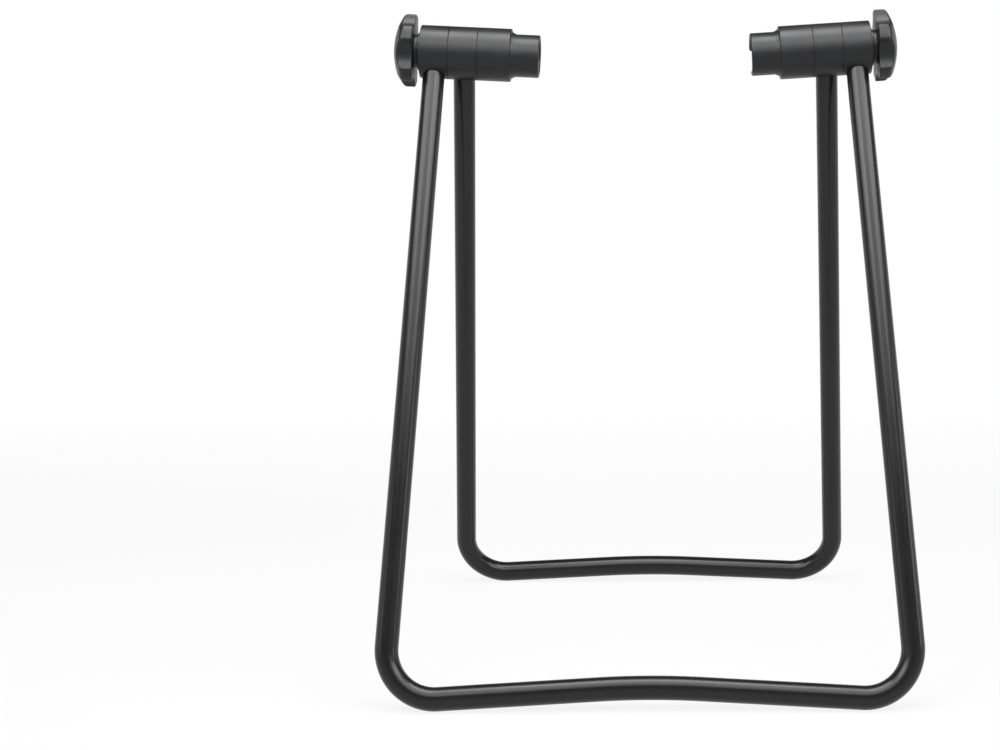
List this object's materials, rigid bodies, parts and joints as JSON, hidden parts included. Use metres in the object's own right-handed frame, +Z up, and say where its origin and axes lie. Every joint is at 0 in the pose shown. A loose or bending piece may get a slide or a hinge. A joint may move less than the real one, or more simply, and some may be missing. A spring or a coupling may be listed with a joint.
{
  "type": "folding bicycle wheel stand",
  "caption": "Folding floor stand of two bent tube frames that grips a bicycle's rear wheel axle between two hub cups, with star knobs that clamp the spread.",
  "frame": {"origin": "on the floor, midway between the two frames and between the two barrels", "axes": "+X along the wheel's axle towards the notched hub cup, +Y from the front frame to the rear frame, +Z up"},
  "size_m": [0.323, 0.3058, 0.4114],
  "materials": {
    "tube_coating": "satin black powder coat on steel tube",
    "ring_plastic": "finely textured black moulded plastic",
    "knob_plastic": "finely textured black moulded plastic",
    "fastener_steel": "black zinc plated steel"
  },
  "bodies": {
    "front_stand": {"front_frame": "tube_coating", "outer_ring_left": "ring_plastic", "outer_ring_right": "ring_plastic"},
    "rear_stand": {"rear_frame": "tube_coating"},
    "left_middle_ring": {"middle_ring_left": "ring_plastic"},
    "left_hub_cup": {"hub_cup_left": "ring_plastic", "clamp_bolt_left": "fastener_steel"},
    "left_washer": {"thrust_washer_left": "fastener_steel"},
    "left_knob": {"star_knob_left": "knob_plastic", "knob_nut_left": "fastener_steel"},
    "right_middle_ring": {"middle_ring_right": "ring_plastic"},
    "right_hub_cup": {"hub_cup_right": "ring_plastic", "clamp_bolt_right": "fastener_steel"},
    "right_washer": {"thrust_washer_right": "fastener_steel"},
    "right_knob": {"star_knob_right": "knob_plastic", "knob_nut_right": "fastener_steel"}
  },
  "joints": [
    {"name": "fold", "type": "hinge", "parent": "front_stand", "child": "rear_stand", "pos_m": [0, 0, 0.386], "axis": [1, 0, 0], "range_deg": [-40, 12]},
    {"name": "left_ring_turn", "type": "hinge", "parent": "front_stand", "child": "left_middle_ring", "pos_m": [-0.11653, 0, 0.386], "axis": [0.9985, 0, -0.0542], "range_deg": [-41, 13]},
    {"name": "left_cup_turn", "type": "hinge", "parent": "front_stand", "child": "left_hub_cup", "pos_m": [-0.08607, 0, 0.38435], "axis": [-0.9985, 0, 0.0542], "continuous": true},
    {"name": "left_knob_travel", "type": "slide", "parent": "left_hub_cup", "child": "left_washer", "axis": [-0.9985, 0, 0.0542], "range_m": [0, 0.0025]},
    {"name": "left_knob_turn", "type": "hinge", "parent": "left_washer", "child": "left_knob", "pos_m": [-0.14419, 0, 0.3875], "axis": [-0.9985, 0, 0.0542], "range_deg": [0, 725]},
    {"name": "right_ring_turn", "type": "hinge", "parent": "front_stand", "child": "right_middle_ring", "pos_m": [0.11653, 0, 0.386], "axis": [0.9985, 0, 0.0542], "range_deg": [-41, 13]},
    {"name": "right_cup_turn", "type": "hinge", "parent": "front_stand", "child": "right_hub_cup", "pos_m": [0.08607, 0, 0.38435], "axis": [0.9985, 0, 0.0542], "continuous": true},
    {"name": "right_knob_travel", "type": "slide", "parent": "right_hub_cup", "child": "right_washer", "axis": [0.9985, 0, 0.0542], "range_m": [0, 0.0025]},
    {"name": "right_knob_turn", "type": "hinge", "parent": "right_washer", "child": "right_knob", "pos_m": [0.14419, 0, 0.3875], "axis": [0.9985, 0, 0.0542], "range_deg": [0, 725]}
  ],
  "couplings": [
    {"joint": "left_ring_turn", "follows": "fold", "ratio": 1},
    {"joint": "left_knob_turn", "follows": "left_knob_travel", "rad_per_m": 5026.5},
    {"joint": "right_ring_turn", "follows": "fold", "ratio": 1},
    {"joint": "right_knob_turn", "follows": "right_knob_travel", "rad_per_m": 5026.5}
  ]
}
